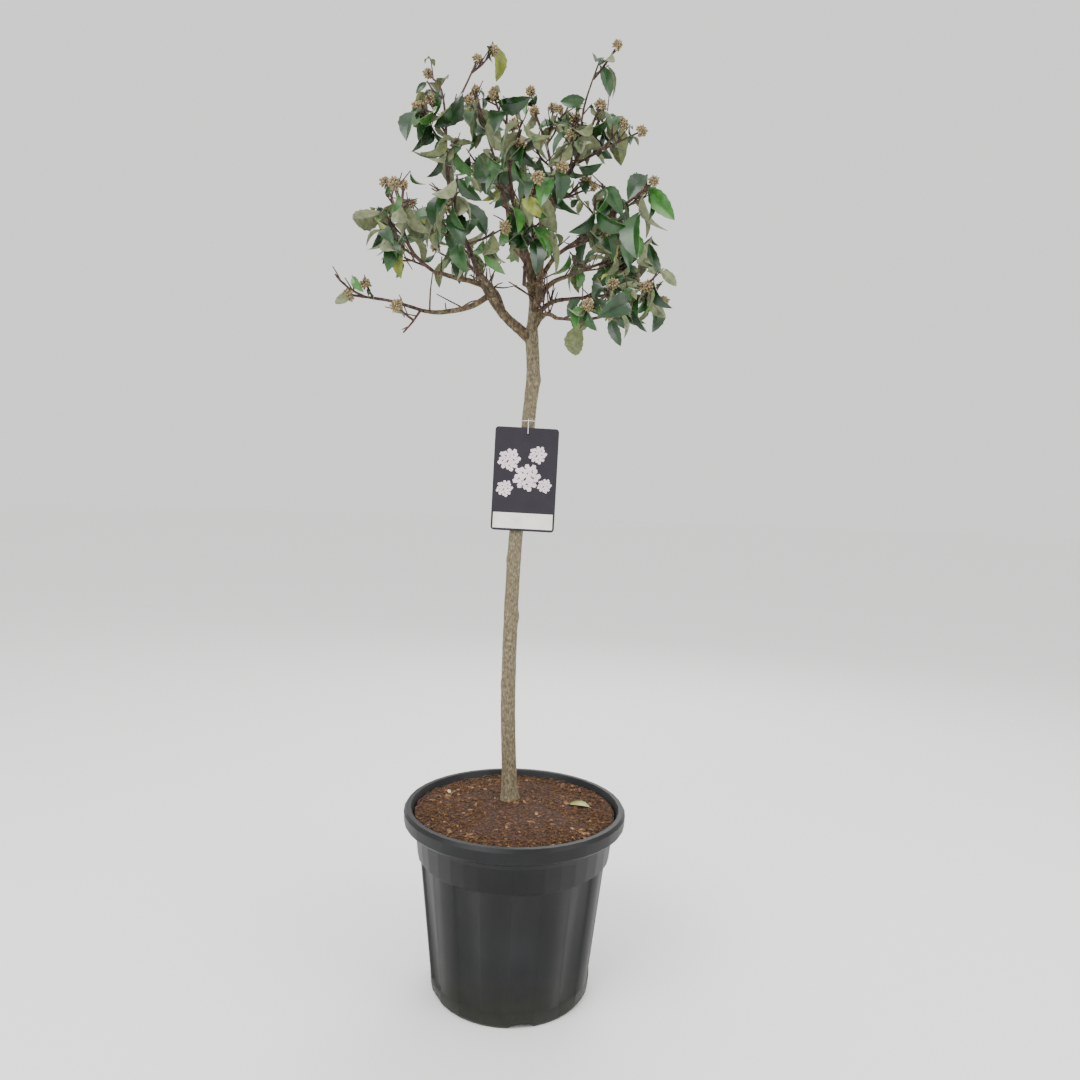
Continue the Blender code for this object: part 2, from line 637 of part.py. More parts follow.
def make_mass(name, paths, space):
    mass = MASSES[name]
    stem = stem_path(name, paths)
    space.grown = []
    bough_tip = BOUGHS[mass.bough].tip
    first_axis = tangent_along(paths[mass.bough], 1.0)
    shape = tube(stem, taper(bough_tip * 0.92, STEM_TIP_RADIUS, STEM_STEPS), STEM_SIDES, first_axis)
    space.grown.append((name, BVHTree.FromBMesh(shape)))
    pieces = []
    for number, shoot in enumerate(LEADERS.get(name, ())):
        grow_shoot(name, f"{name}-leader-{number}", name, stem, shoot, space, pieces, 1)
    for number in range(mass.shoots):
        shoot = seeded_shoot(name, number, mass.shoots, mass.heading, mass.rise, SHOOT_LENGTH, mass.leaf)
        grow_shoot(name, f"{name}-{number}", name, stem, shoot, space, pieces, TWIGS_PER_SHOOT)
    dress(name, name, stem, "buds", mass.leaf * 1.1, space, pieces)
    fuse(name, shape, pieces)


def fuse(name, shape, pieces):
    """One union joins the stem with all that grows on it."""
    item = add_object(name, shape, "leaf")
    collection = bpy.data.collections.new(name + "_pieces")
    bpy.context.scene.collection.children.link(collection)
    for bm in pieces:
        piece = add_object("piece", bm)
        bpy.context.scene.collection.objects.unlink(piece)
        collection.objects.link(piece)
    apply_boolean(item, "UNION", collection=collection)
    for piece in list(collection.objects):
        bpy.data.objects.remove(piece)
    bpy.data.collections.remove(collection)
    keep_main_body(item)


# Hang tag

def card_outline():
    """The card's rounded outline, centred, in its own plane."""
    points = []
    for corner, (x, z) in enumerate(((1, 1), (-1, 1), (-1, -1), (1, -1))):
        center = Vector((x * (TAG_WIDTH / 2 - TAG_CORNER), 0, z * (TAG_HEIGHT / 2 - TAG_CORNER)))
        for i in range(4):
            turn = pi / 2 * (corner + i / 3)
            points.append(center + Vector((cos(turn), 0, sin(turn))) * TAG_CORNER)
    return points


def tag_back():
    """How far forward the card's back face hangs."""
    height = TAG_TOP - SOIL_SEAT - TAG_HEIGHT / 2
    return TRUNK_Y - trunk_radius(height, -pi / 2) - TAG_CLEARANCE


def make_tag():
    back = tag_back()
    center_x = -0.002
    middle = Vector((center_x, back, TAG_TOP - TAG_HEIGHT / 2))
    place = Matrix.Translation(middle) @ Matrix.Rotation(radians(-TAG_TURN), 4, "Y")
    outline = card_outline()
    layers = [[place @ (point - Vector((0, depth, 0))) for point in outline] for depth in (0, TAG_THICKNESS)]
    card = add_object("tag", loft(layers), "card")
    hole = bmesh.new()
    bmesh.ops.create_cone(hole, cap_ends=True, segments=12, radius1=TAG_HOLE_RADIUS,
                          radius2=TAG_HOLE_RADIUS, depth=0.01)
    hole_place = Matrix.Translation(hole_center()) @ Matrix.Rotation(pi / 2, 4, "X")
    bmesh.ops.transform(hole, matrix=hole_place, verts=hole.verts)
    cutter = add_object("hole_cutter", hole)
    apply_boolean(card, "DIFFERENCE", cutter)
    bpy.data.objects.remove(cutter)


def hole_center():
    return Vector((trunk_x(LOOP_HEIGHT - SOIL_SEAT), tag_back(), TAG_TOP - TAG_HOLE_DROP))


def make_tag_loop():
    """A thin ring round the trunk, with a hanger from its front through the card's hole."""
    height = LOOP_HEIGHT - SOIL_SEAT
    skin = max(trunk_radius(height, turn) for turn in even_turns(TRUNK_SIDES))
    reach = (skin + SEAT_GAP + LOOP_RADIUS) * 1.01
    center = Vector((trunk_x(height), TRUNK_Y, LOOP_HEIGHT))
    around = [center + spoke for spoke in circle(reach, 0, even_turns(20))]
    ring = closed_thread("tag_loop", around, UP)
    hole = hole_center()
    front = hole.y - TAG_THICKNESS - LOOP_RADIUS - HANGER_GAP
    back = center.y - reach
    middle_y = (front + back) / 2
    half = (back - front) / 2
    low = hole.z + TAG_HOLE_RADIUS - LOOP_RADIUS - 2 * HANGER_GAP + half
    turns = [pi * i / 6 for i in range(7)]
    hanger = [Vector((center.x, middle_y + half * cos(turn), LOOP_HEIGHT + half * sin(turn)))
              for turn in turns]
    hanger += [Vector((center.x, middle_y - half * cos(turn), low - half * sin(turn))) for turn in turns]
    link = closed_thread("hanger", hanger, Vector((1, 0, 0)))
    apply_boolean(ring, "UNION", link)
    bpy.data.objects.remove(link)
    keep_main_body(ring)


def closed_thread(name, points, normal):
    """A round thread along a closed path that lies in the plane across normal."""
    count = len(points)
    rings = []
    for i, point in enumerate(points):
        axis = (points[(i + 1) % count] - points[i - 1]).normalized()
        outward = axis.cross(normal)
        rings.append([point + (outward * cos(turn) + normal * sin(turn)) * LOOP_RADIUS
                      for turn in even_turns(6)])
    return add_object(name, loft(rings, closed=True), "loop", smooth=True)


def main():
    for item in list(bpy.data.objects):
        bpy.data.objects.remove(item)
    make_pot()
    make_soil()
    add_object("trunk", trunk_solid(), "bark", smooth=True)
    paths = lay_out_limbs()
    make_boughs(paths)
    space = Space(paths)
    for name in MASSES:
        make_mass(name, paths, space)
    make_tag()
    make_tag_loop()


main()
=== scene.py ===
from math import cos, exp, pi, radians, sin
import random

import bmesh
import bpy
from mathutils import Matrix, Quaternion, Vector, noise
from mathutils.kdtree import KDTree


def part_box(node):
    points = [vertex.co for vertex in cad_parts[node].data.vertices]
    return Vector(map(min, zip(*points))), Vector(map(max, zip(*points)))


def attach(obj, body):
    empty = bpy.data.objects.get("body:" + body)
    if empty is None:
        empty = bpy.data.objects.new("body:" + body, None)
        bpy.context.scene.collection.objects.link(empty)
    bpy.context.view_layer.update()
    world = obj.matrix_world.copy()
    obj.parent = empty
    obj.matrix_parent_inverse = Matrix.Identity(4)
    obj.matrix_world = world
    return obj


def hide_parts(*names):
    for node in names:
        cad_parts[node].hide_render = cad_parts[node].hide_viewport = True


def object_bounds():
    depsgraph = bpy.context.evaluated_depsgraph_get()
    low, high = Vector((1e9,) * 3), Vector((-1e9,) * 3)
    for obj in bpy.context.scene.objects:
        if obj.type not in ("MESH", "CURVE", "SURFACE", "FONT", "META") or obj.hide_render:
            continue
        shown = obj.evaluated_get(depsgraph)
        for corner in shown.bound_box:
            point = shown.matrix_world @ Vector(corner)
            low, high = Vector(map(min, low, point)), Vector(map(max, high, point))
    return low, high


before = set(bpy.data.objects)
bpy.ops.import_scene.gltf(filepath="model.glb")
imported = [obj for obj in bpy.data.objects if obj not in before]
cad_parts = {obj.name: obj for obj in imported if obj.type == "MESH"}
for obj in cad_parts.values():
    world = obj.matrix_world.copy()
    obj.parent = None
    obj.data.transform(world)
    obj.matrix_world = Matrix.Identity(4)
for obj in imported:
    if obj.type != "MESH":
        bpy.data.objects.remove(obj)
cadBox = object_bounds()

up = Vector((0, 0, 1))
scene = bpy.context.scene


# Materials: a hex colour as the eye sees it, turned to the linear values that shaders take

def linear(hexColor):
    channels = [int(hexColor[i:i + 2], 16) / 255 for i in (1, 3, 5)]
    return [c / 12.92 if c <= 0.04045 else ((c + 0.055) / 1.055) ** 2.4 for c in channels] + [1.0]


def addNode(tree, kind, settings=None, links=None):
    node = tree.nodes.new(kind)
    for key, value in (settings or {}).items():
        if key in node.inputs:
            node.inputs[key].default_value = value
        else:
            setattr(node, key, value)
    for key, source in (links or {}).items():
        tree.links.new(source, node.inputs[key])
    return node


def startMaterial(name, roughness=0.5, **fixed):
    material = bpy.data.materials.new(name)
    material.use_nodes = True
    tree = material.node_tree
    shader = tree.nodes["Principled BSDF"]
    shader.inputs["Roughness"].default_value = roughness
    for key, value in fixed.items():
        shader.inputs[key.replace("_", " ")].default_value = value
    place = addNode(tree, "ShaderNodeTexCoord").outputs["Object"]
    return material, tree, shader, place


def blendColors(tree, shader, source, stops):
    ramp = addNode(tree, "ShaderNodeValToRGB", links={"Fac": source})
    elements = ramp.color_ramp.elements
    while len(elements) < len(stops):
        elements.new(0.5)
    for element, (at, color) in zip(elements, stops):
        element.position = at
        element.color = linear(color)
    tree.links.new(ramp.outputs["Color"], shader.inputs["Base Color"])
    return ramp


def bumpFrom(tree, shader, height, strength, millimetres):
    bump = addNode(tree, "ShaderNodeBump", {"Strength": strength, "Distance": millimetres / 1000},
                   {"Height": height})
    tree.links.new(bump.outputs["Normal"], shader.inputs["Normal"])


def noiseOn(tree, place, grainMillimetres, detail=4.0, stretch=None):
    if stretch:
        place = addNode(tree, "ShaderNodeMapping", {"Scale": stretch}, {"Vector": place}).outputs["Vector"]
    return addNode(tree, "ShaderNodeTexNoise", {"Scale": 1000 / grainMillimetres, "Detail": detail},
                   {"Vector": place}).outputs["Fac"]


def mouldedPolypropylene():
    # Injection moulded polypropylene: black, satin, dusty in patches, a faint film of algae low down
    material, tree, shader, place = startMaterial("mouldedPolypropylene", 0.48, Specular_IOR_Level=0.32)
    cloud = noiseOn(tree, place, 90)
    dusty = blendColors(tree, shader, cloud, ((0.35, "#060709"), (0.52, "#0b0d0f"), (0.70, "#141618")))
    height = addNode(tree, "ShaderNodeSeparateXYZ", links={"Vector": place}).outputs["Z"]
    fade = {"From Min": 0.0, "From Max": 0.10, "To Min": 0.40, "To Max": 0.0}
    low = addNode(tree, "ShaderNodeMapRange", fade, {"Value": height}).outputs["Result"]
    patches = addNode(tree, "ShaderNodeMath", {"operation": "MULTIPLY"})
    tree.links.new(low, patches.inputs[0])
    tree.links.new(noiseOn(tree, place, 24, 6.0), patches.inputs[1])
    film = addNode(tree, "ShaderNodeMixRGB", {"Color2": linear("#35371f")},
                   {"Fac": patches.outputs["Value"], "Color1": dusty.outputs["Color"]})
    tree.links.new(film.outputs["Color"], shader.inputs["Base Color"])
    grain = noiseOn(tree, place, 1.4, 2.0)
    bumpFrom(tree, shader, grain, 0.35, 0.12)
    return material


def coirFibre():
    # Chopped coconut fibre and peat: matt red-brown with deep dark gaps
    material, tree, shader, place = startMaterial("coirFibre", 0.95)
    crumbs = noiseOn(tree, place, 5, 8.0)
    blendColors(tree, shader, crumbs,
                ((0.36, "#120905"), (0.50, "#371d0f"), (0.61, "#54301a"), (0.76, "#7c5632")))
    bumpFrom(tree, shader, crumbs, 1.0, 4.0)
    return material


def youngBark(name, colors, grain):
    # Young viburnum bark: thin, dull, with fine upright cracks and pale corky specks
    material, tree, shader, place = startMaterial(name, 0.82)
    cracks = noiseOn(tree, place, grain, 8.0, (1.0, 1.0, 0.55))
    blendColors(tree, shader, cracks, tuple(zip((0.30, 0.46, 0.58, 0.72), colors)))
    bumpFrom(tree, shader, cracks, 0.7, 0.7)
    return material


def waxyLeaf(name, dark, light, roughness=0.34):
    # Upper face of a leathery leaf: cuticle wax, a broad soft gloss over deep green
    material, tree, shader, place = startMaterial(name, roughness, Coat_Weight=0.2, Coat_Roughness=0.3)
    mottle = noiseOn(tree, place, 14, 3.0)
    blendColors(tree, shader, mottle, ((0.35, dark), (0.65, light)))
    bumpFrom(tree, shader, noiseOn(tree, place, 2.2, 3.0), 0.30, 0.25)
    return material


def feltedLeaf(name, dark, light):
    # Under face of the leaf: a felt of fine hairs, grey-green with no gloss
    material, tree, shader, place = startMaterial(name, 0.92, Sheen_Weight=0.12, Sheen_Roughness=0.5)
    felt = noiseOn(tree, place, 9, 5.0)
    blendColors(tree, shader, felt, ((0.35, dark), (0.65, light)))
    bumpFrom(tree, shader, noiseOn(tree, place, 1.2, 2.0), 0.4, 0.2)
    return material


def downyBud():
    # Winter flower buds: naked, clothed in tan down
    material, tree, shader, place = startMaterial("downyBud", 0.9, Sheen_Weight=0.4)
    down = noiseOn(tree, place, 3, 4.0)
    blendColors(tree, shader, down, ((0.35, "#4c3d24"), (0.50, "#837046"), (0.68, "#b09d6b")))
    bumpFrom(tree, shader, down, 0.6, 0.5)
    return material


def coatedCard(name, color, roughness):
    # Coated card: smooth printed board with a slight sheen and a barely uneven surface
    material, tree, shader, place = startMaterial(name, roughness)
    cloud = noiseOn(tree, place, 30)
    base = linear(color)
    ramp = blendColors(tree, shader, cloud, ((0.3, color), (0.7, color)))
    ramp.color_ramp.elements[1].color = [min(1.0, c * 1.25 + 0.002) for c in base[:3]] + [1.0]
    bumpFrom(tree, shader, noiseOn(tree, place, 3), 0.1, 0.05)
    return material


barkColors = ("#4a4231", "#665c46", "#776d56", "#938970")
boughColors = ("#2a2217", "#483b27", "#60523a", "#7d7055")
twigColors = ("#241713", "#3b2a24", "#523c31", "#6d5443")
leafTops = (("leafTopDeep", "#0b2b0d", "#1a3f18"), ("leafTopGreen", "#153d15", "#295420"),
            ("leafTopBright", "#286120", "#467c31"), ("leafTopYellow", "#667526", "#909740"))
leafUnders = (("leafUnderGrey", "#626a49", "#7f8564"), ("leafUnderOlive", "#545c39", "#70774e"))
# Of twenty leaves: deep, green, bright and yellowing
tintOdds = (0,) * 8 + (1,) * 8 + (2,) * 3 + (3,)
# quarter turns of a leaf about its own length, and how far it strays from them
leafPose = {"turns": (0, 0, 180, 180, 90, -90), "stray": 38}


# Pieces

def finishPiece(name, mesh, materials, replaced=(), smoothAngle=40):
    mesh.name = name
    for material in materials:
        mesh.materials.append(material)
    mesh.shade_smooth()
    mesh.set_sharp_from_angle(angle=radians(smoothAngle))
    piece = bpy.data.objects.new(name, mesh)
    scene.collection.objects.link(piece)
    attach(piece, "root")
    if replaced:
        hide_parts(*replaced)
    print(name, len(mesh.polygons), "faces")
    return piece


def meshFromBmesh(bm):
    mesh = bpy.data.meshes.new("shape")
    bm.to_mesh(mesh)
    bm.free()
    return mesh


def tubesAlong(lines, resolution):
    # lines: (points, radii) for each round limb
    curve = bpy.data.curves.new("tubes", "CURVE")
    curve.dimensions = "3D"
    curve.bevel_depth = 1.0
    curve.bevel_resolution = resolution
    curve.use_fill_caps = True
    for points, radii in lines:
        spline = curve.splines.new("POLY")
        spline.points.add(len(points) - 1)
        for target, point, radius in zip(spline.points, points, radii):
            target.co = (*point, 1)
            target.radius = radius
    holder = bpy.data.objects.new("tubes", curve)
    scene.collection.objects.link(holder)
    bpy.context.view_layer.update()
    mesh = bpy.data.meshes.new_from_object(holder.evaluated_get(bpy.context.evaluated_depsgraph_get()))
    bpy.data.objects.remove(holder)
    return mesh


def joinCopies(templates, places):
    # places: (template number, matrix, {material index in the template: index in the joined mesh})
    verts, faces, slots = [], [], []
    for number, matrix, dealt in places:
        template = templates[number]
        first = len(verts)
        verts.extend(matrix @ vert.co for vert in template.vertices)
        for polygon in template.polygons:
            faces.append([first + i for i in polygon.vertices])
            slots.append(dealt.get(polygon.material_index, polygon.material_index))
    mesh = bpy.data.meshes.new("joined")
    mesh.from_pydata(verts, [], faces)
    mesh.polygons.foreach_set("material_index", slots)
    return mesh


# The limbs: the same places and the same seeded rule as the solids

seatGap = 0.0003
trunk = {"y": 0.050, "foot": 0.3203, "length": 0.936, "steps": 30, "footRadius": 0.0140,
         "forkRadius": 0.0122, "tipRadius": 0.0095, "forkHeight": 0.86, "narrowing": 0.025, "flare": 0.0055,
         "flareHeight": 0.016, "flareRibs": 0.35,
         "bends": {0.0: -0.0125, 0.20: -0.0205, 0.48: -0.0165, 0.74: 0.0030, 0.80: 0.0066, 0.87: 0.0025,
                   0.936: 0.0045},
         # height, turn in degrees, swell, spread
         "knots": ((0.345, -15, 0.0026, 0.011), (0.215, 175, 0.0012, 0.010), (0.452, 200, 0.0013, 0.009),
                   (0.640, -60, 0.0010, 0.010), (0.785, -10, 0.0030, 0.012), (0.762, 190, 0.0012, 0.010),
                   (0.868, 200, 0.0040, 0.013))}
# parent, at, heading, rise, length, bow, base radius, tip radius
boughs = {
    "bough_center": ("trunk", 1.000, 234, 66, 0.105, 0.002, 0.0080, 0.0048),
    "bough_left": ("trunk", 0.915, 195, 50, 0.177, -0.015, 0.0105, 0.0050),
    "bough_back_center": ("trunk", 0.975, 63, 72, 0.145, 0.026, 0.0070, 0.0042),
    "bough_upper_right": ("trunk", 0.965, 293, 83, 0.177, -0.024, 0.0072, 0.0042),
    "bough_right": ("trunk", 0.950, 333, 70, 0.125, 0.014, 0.0062, 0.0038),
    "bough_low_right": ("trunk", 0.935, 335, 41, 0.079, 0.016, 0.0055, 0.0036),
    "bough_front_right": ("trunk", 0.925, 305, 15, 0.076, 0.021, 0.0050, 0.0034),
    "bough_back_right": ("trunk", 0.955, 46, 48, 0.136, 0.019, 0.0060, 0.0038),
    "bough_back": ("trunk", 0.945, 102, 56, 0.146, 0.033, 0.0062, 0.0040),
    "bough_front": ("trunk", 0.940, 256, 43, 0.091, 0.032, 0.0056, 0.0036),
    "bough_low_left": ("bough_left", 0.62, 204, -20, 0.130, -0.012, 0.0056, 0.0034),
    "bough_left_level": ("bough_left", 0.72, 215, 2, 0.099, 0.002, 0.0052, 0.0034),
    "bough_back_left": ("bough_left", 0.40, 128, 44, 0.142, 0.012, 0.0058, 0.0038),
    "bough_front_left": ("bough_left", 0.48, 248, 23, 0.092, 0.010, 0.0054, 0.0034),
    "bough_center_left": ("bough_center", 0.55, 152, 65, 0.112, -0.007, 0.0052, 0.0036),
}
# bough, heading, rise, length, bow, shoots, leaf length
masses = {
    "foliage_low_left": ("bough_low_left", 191, 8, 0.123, 0.005, 1, 0.040),
    "foliage_left": ("bough_left_level", 230, 57, 0.142, -0.036, 5, 0.066),
    "foliage_left_high": ("bough_left", 226, 72, 0.232, -0.023, 6, 0.060),
    "foliage_center_left": ("bough_center_left", 167, 73, 0.228, -0.001, 6, 0.064),
    "foliage_center": ("bough_center", 245, 69, 0.199, -0.018, 6, 0.066),
    "foliage_back_center": ("bough_back_center", 180, 83, 0.235, 0.019, 6, 0.064),
    "foliage_upper_right": ("bough_upper_right", 328, 55, 0.196, -0.009, 5, 0.064),
    "foliage_right": ("bough_right", 321, 23, 0.191, -0.001, 6, 0.066),
    "foliage_low_right": ("bough_low_right", 343, -3, 0.155, 0.005, 5, 0.060),
    "foliage_front_right": ("bough_front_right", 306, -8, 0.137, -0.004, 4, 0.060),
    "foliage_back_right": ("bough_back_right", 27, 26, 0.181, 0.001, 6, 0.064),
    "foliage_back": ("bough_back", 98, 63, 0.271, 0.010, 7, 0.064),
    "foliage_back_left": ("bough_back_left", 135, 45, 0.206, -0.002, 6, 0.064),
    "foliage_front": ("bough_front", 280, 49, 0.178, 0.037, 5, 0.064),
    "foliage_front_left": ("bough_front_left", 247, 34, 0.137, 0.010, 5, 0.064),
}
# at, heading, rise, length, bow, end, leaf length
leaders = {
    "foliage_low_left": ((0.04, 229, -51, 0.059, -0.002, "leaves", 0.056),
                         (0.72, 239, 46, 0.021, 0.0, "buds", 0.018)),
    "foliage_left": ((0.62, 142, 60, 0.093, 0.0, "buds", 0.024), (0.10, 162, 22, 0.051, 0.0, "bare", 0.03),
                     (0.70, 138, 23, 0.067, 0.0, "bare", 0.03)),
    "foliage_left_high": ((0.99, 350, 62, 0.108, -0.003, "buds", 0.080),
                          (0.70, 171, 60, 0.107, 0.006, "buds", 0.030),
                          (0.97, 127, 59, 0.127, 0.018, "buds", 0.040)),
    "foliage_upper_right": ((0.62, 314, 74, 0.149, 0.012, "leaves", 0.052),
                            (0.50, 332, 16, 0.125, 0.001, "buds", 0.022),
                            (0.45, 66, 80, 0.125, 0.0, "buds", 0.030)),
    "foliage_back_center": ((0.75, 313, 78, 0.063, 0.0, "buds", 0.030),),
    "foliage_center": ((0.55, 295, 53, 0.082, 0.0, "leaves", 0.060),),
    "foliage_right": ((0.93, 318, -49, 0.030, 0.0, "leaves", 0.100),
                      (0.45, 347, -6, 0.079, 0.009, "leaves", 0.045)),
    "foliage_low_right": ((0.35, 292, -35, 0.090, 0.0, "leaves", 0.050),),
    "foliage_back_right": ((0.50, 338, -28, 0.086, 0.0, "leaves", 0.050),),
}
rule = {"turn": 137.5, "boughSteps": 6, "stemSteps": 4, "twigSteps": 2, "wobble": 0.014, "swelling": 0.16,
        "stemShare": 0.92, "stemTipRadius": 0.0021, "tipLeaf": 1.1, "guideParts": 24, "boxMargin": 0.004,
        "shootRadius": 0.0021, "shootTipRadius": 0.0014, "shootLength": 0.088, "forkOver": 0.045,
        "forkLength": 0.62, "leaderTwigs": 1, "twigsPerShoot": 1, "budShare": 0.30, "budRadius": 0.0125,
        "leafShare": 0.66, "leafDroop": (0.6, 2.2), "leafWidth": 0.44}
# How a seeded shoot leaves its stem
habit = {"firstAt": 0.08, "span": 0.90, "spread": (0.1, 0.9), "stray": 20, "flatReach": 0.42,
         "upReach": 0.58, "rise": 0.35, "lift": (-8, 42), "lengths": (0.65, 1.15), "lowest": 1.05,
         "shorten": 0.35, "sag": -0.04, "leafSizes": (0.75, 1.15)}
# Pairs of leaves along each shoot, as place and turn, and how each leaf sits
pairs = {"places": {"leaves": ((0.97, 0), (0.60, 90)), "buds": ((0.90, 0), (0.55, 90)), "bare": ()},
         "spin": 50, "forward": (0.2, 0.7), "lean": 0.35, "stray": 0.4, "sizes": (0.85, 1.15),
         "widths": (0.85, 1.12)}
# Finer twigs than the solids have, within the same reach
fine = {"count": 2, "length": 0.034, "lengths": (0.4, 1.2), "at": (0.2, 0.9), "swing": 90, "rise": 0.4,
        "lift": (-15, 60), "ends": ("bare", "bare", "small", "bare", "leaves"), "radii": (0.0013, 0.0008),
        "leafAt": 0.97, "leafShare": 0.5, "leafSize": 0.75, "smallLeaf": 0.022, "smallShare": 0.9}
# Bare twigs on the boughs, and masses that the photograph shows nearly leafless
thicket = {"perBough": 5, "at": (0.15, 0.98), "length": 0.062, "lengths": (0.4, 1.2), "rise": (12, 82),
           "bow": 0.006, "radii": (0.0016, 0.0009)}
thinned = {"foliage_low_left": 0.30}


def direction(heading, rise):
    flat = Vector((cos(radians(heading)), sin(radians(heading)), 0))
    return flat * cos(radians(rise)) + up * sin(radians(rise))


def limbPath(name, start, heading, rise, length, bow, steps):
    rng = random.Random(name)
    chord = direction(heading, rise) * length
    across = direction(heading, rise + 90)
    path = []
    for step in range(steps + 1):
        t = step / steps
        stray = Vector([rng.uniform(-1, 1) for axis in range(3)]) * (rule["wobble"] * length * sin(pi * t))
        path.append(start + chord * t + across * (bow * 4 * t * (1 - t)) + stray)
    return path


def pointAlong(path, at):
    place = at * (len(path) - 1)
    step = min(int(place), len(path) - 2)
    return path[step].lerp(path[step + 1], place - step)


def tangentAlong(path, at):
    step = min(int(at * (len(path) - 1)), len(path) - 2)
    return (path[step + 1] - path[step]).normalized()


def curveBetween(a, b, c, d, t):
    # From b to c, bent by their neighbours a and d
    return 0.5 * (2 * b + (c - a) * t + (2 * a - 5 * b + 4 * c - d) * t ** 2
                  + (3 * b - a - 3 * c + d) * t ** 3)


def smoothPath(path, parts):
    # A rounded line through the points, for a limb that shows no corners
    points = []
    for step in range(len(path) - 1):
        a, b = path[max(step - 1, 0)], path[step]
        c, d = path[step + 1], path[min(step + 2, len(path) - 1)]
        for part in range(parts):
            points.append(curveBetween(a, b, c, d, part / parts))
    return points + [path[-1]]


def taperAlong(count, first, last, swellings=0, name=""):
    rng = random.Random(name + "swell")
    radii = []
    for i in range(count):
        t = i / (count - 1)
        radii.append((first + (last - first) * t) * (1 + swellings * rng.uniform(0.0, rule["swelling"])))
    return radii


def trunkX(height):
    heights = list(trunk["bends"])
    low = max(i for i, value in enumerate(heights[:-1]) if value <= height + 1e-9)
    t = (height - heights[low]) / (heights[low + 1] - heights[low])
    a, b, c, d = [trunk["bends"][heights[min(max(i, 0), len(heights) - 1)]] for i in range(low - 1, low + 3)]
    return curveBetween(a, b, c, d, t)


def trunkPath(steps):
    rise = trunk["length"] / steps
    return [Vector((trunkX(rise * i), trunk["y"], trunk["foot"] + rise * i)) for i in range(steps + 1)]


def trunkRadius(height, turn):
    if height < trunk["forkHeight"]:
        change = trunk["forkRadius"] - trunk["footRadius"]
        radius = trunk["footRadius"] + change * height / trunk["forkHeight"]
    else:
        share = min((height - trunk["forkHeight"]) / trunk["narrowing"], 1.0)
        radius = trunk["forkRadius"] + (trunk["tipRadius"] - trunk["forkRadius"]) * share
    radius += trunk["flare"] * exp(-height / trunk["flareHeight"]) * (1 + trunk["flareRibs"] * cos(3 * turn))
    for knotHeight, knotTurn, swell, spread in trunk["knots"]:
        facing = max(0.0, cos(turn - radians(knotTurn)))
        radius += swell * facing ** 2 * exp(-((height - knotHeight) / spread) ** 2)
    return radius


def layOutLimbs():
    paths = {"trunk": trunkPath(trunk["steps"])}
    for name, (parent, at, heading, rise, length, bow, base, tip) in boughs.items():
        root = pointAlong(paths[parent], at)
        if at == 1.0:
            root = root + up * seatGap
        paths[name] = limbPath(name, root, heading, rise, length, bow, rule["boughSteps"])
    return paths


def stemPath(name, paths):
    bough, heading, rise, length, bow, shoots, leaf = masses[name]
    root = paths[bough][-1] + tangentAlong(paths[bough], 1.0) * seatGap
    return limbPath(name, root, heading, rise, length, bow, rule["stemSteps"])


def shootPath(name, parent, shoot):
    at, heading, rise, length, bow, end, leaf = shoot
    return limbPath(name, pointAlong(parent, at), heading, rise, length, bow, rule["twigSteps"])


def seededShoot(name, number, count, heading, rise, length, leaf):
    rng = random.Random(f"{name}-{number}")
    at = habit["firstAt"] + habit["span"] * (number + rng.uniform(*habit["spread"])) / count
    swing = (rule["turn"] * number + rng.uniform(-habit["stray"], habit["stray"]) + 180) % 360 - 180
    reach = habit["flatReach"] + habit["upReach"] * max(0.0, sin(radians(rise)))
    slope = rise * habit["rise"] + rng.uniform(*habit["lift"])
    scale = rng.uniform(*habit["lengths"]) * (habit["lowest"] - habit["shorten"] * at)
    end = "buds" if rng.random() < rule["budShare"] else "leaves"
    size = leaf * rng.uniform(*habit["leafSizes"])
    return at, heading + swing * reach, slope, length * scale, habit["sag"] * length, end, size


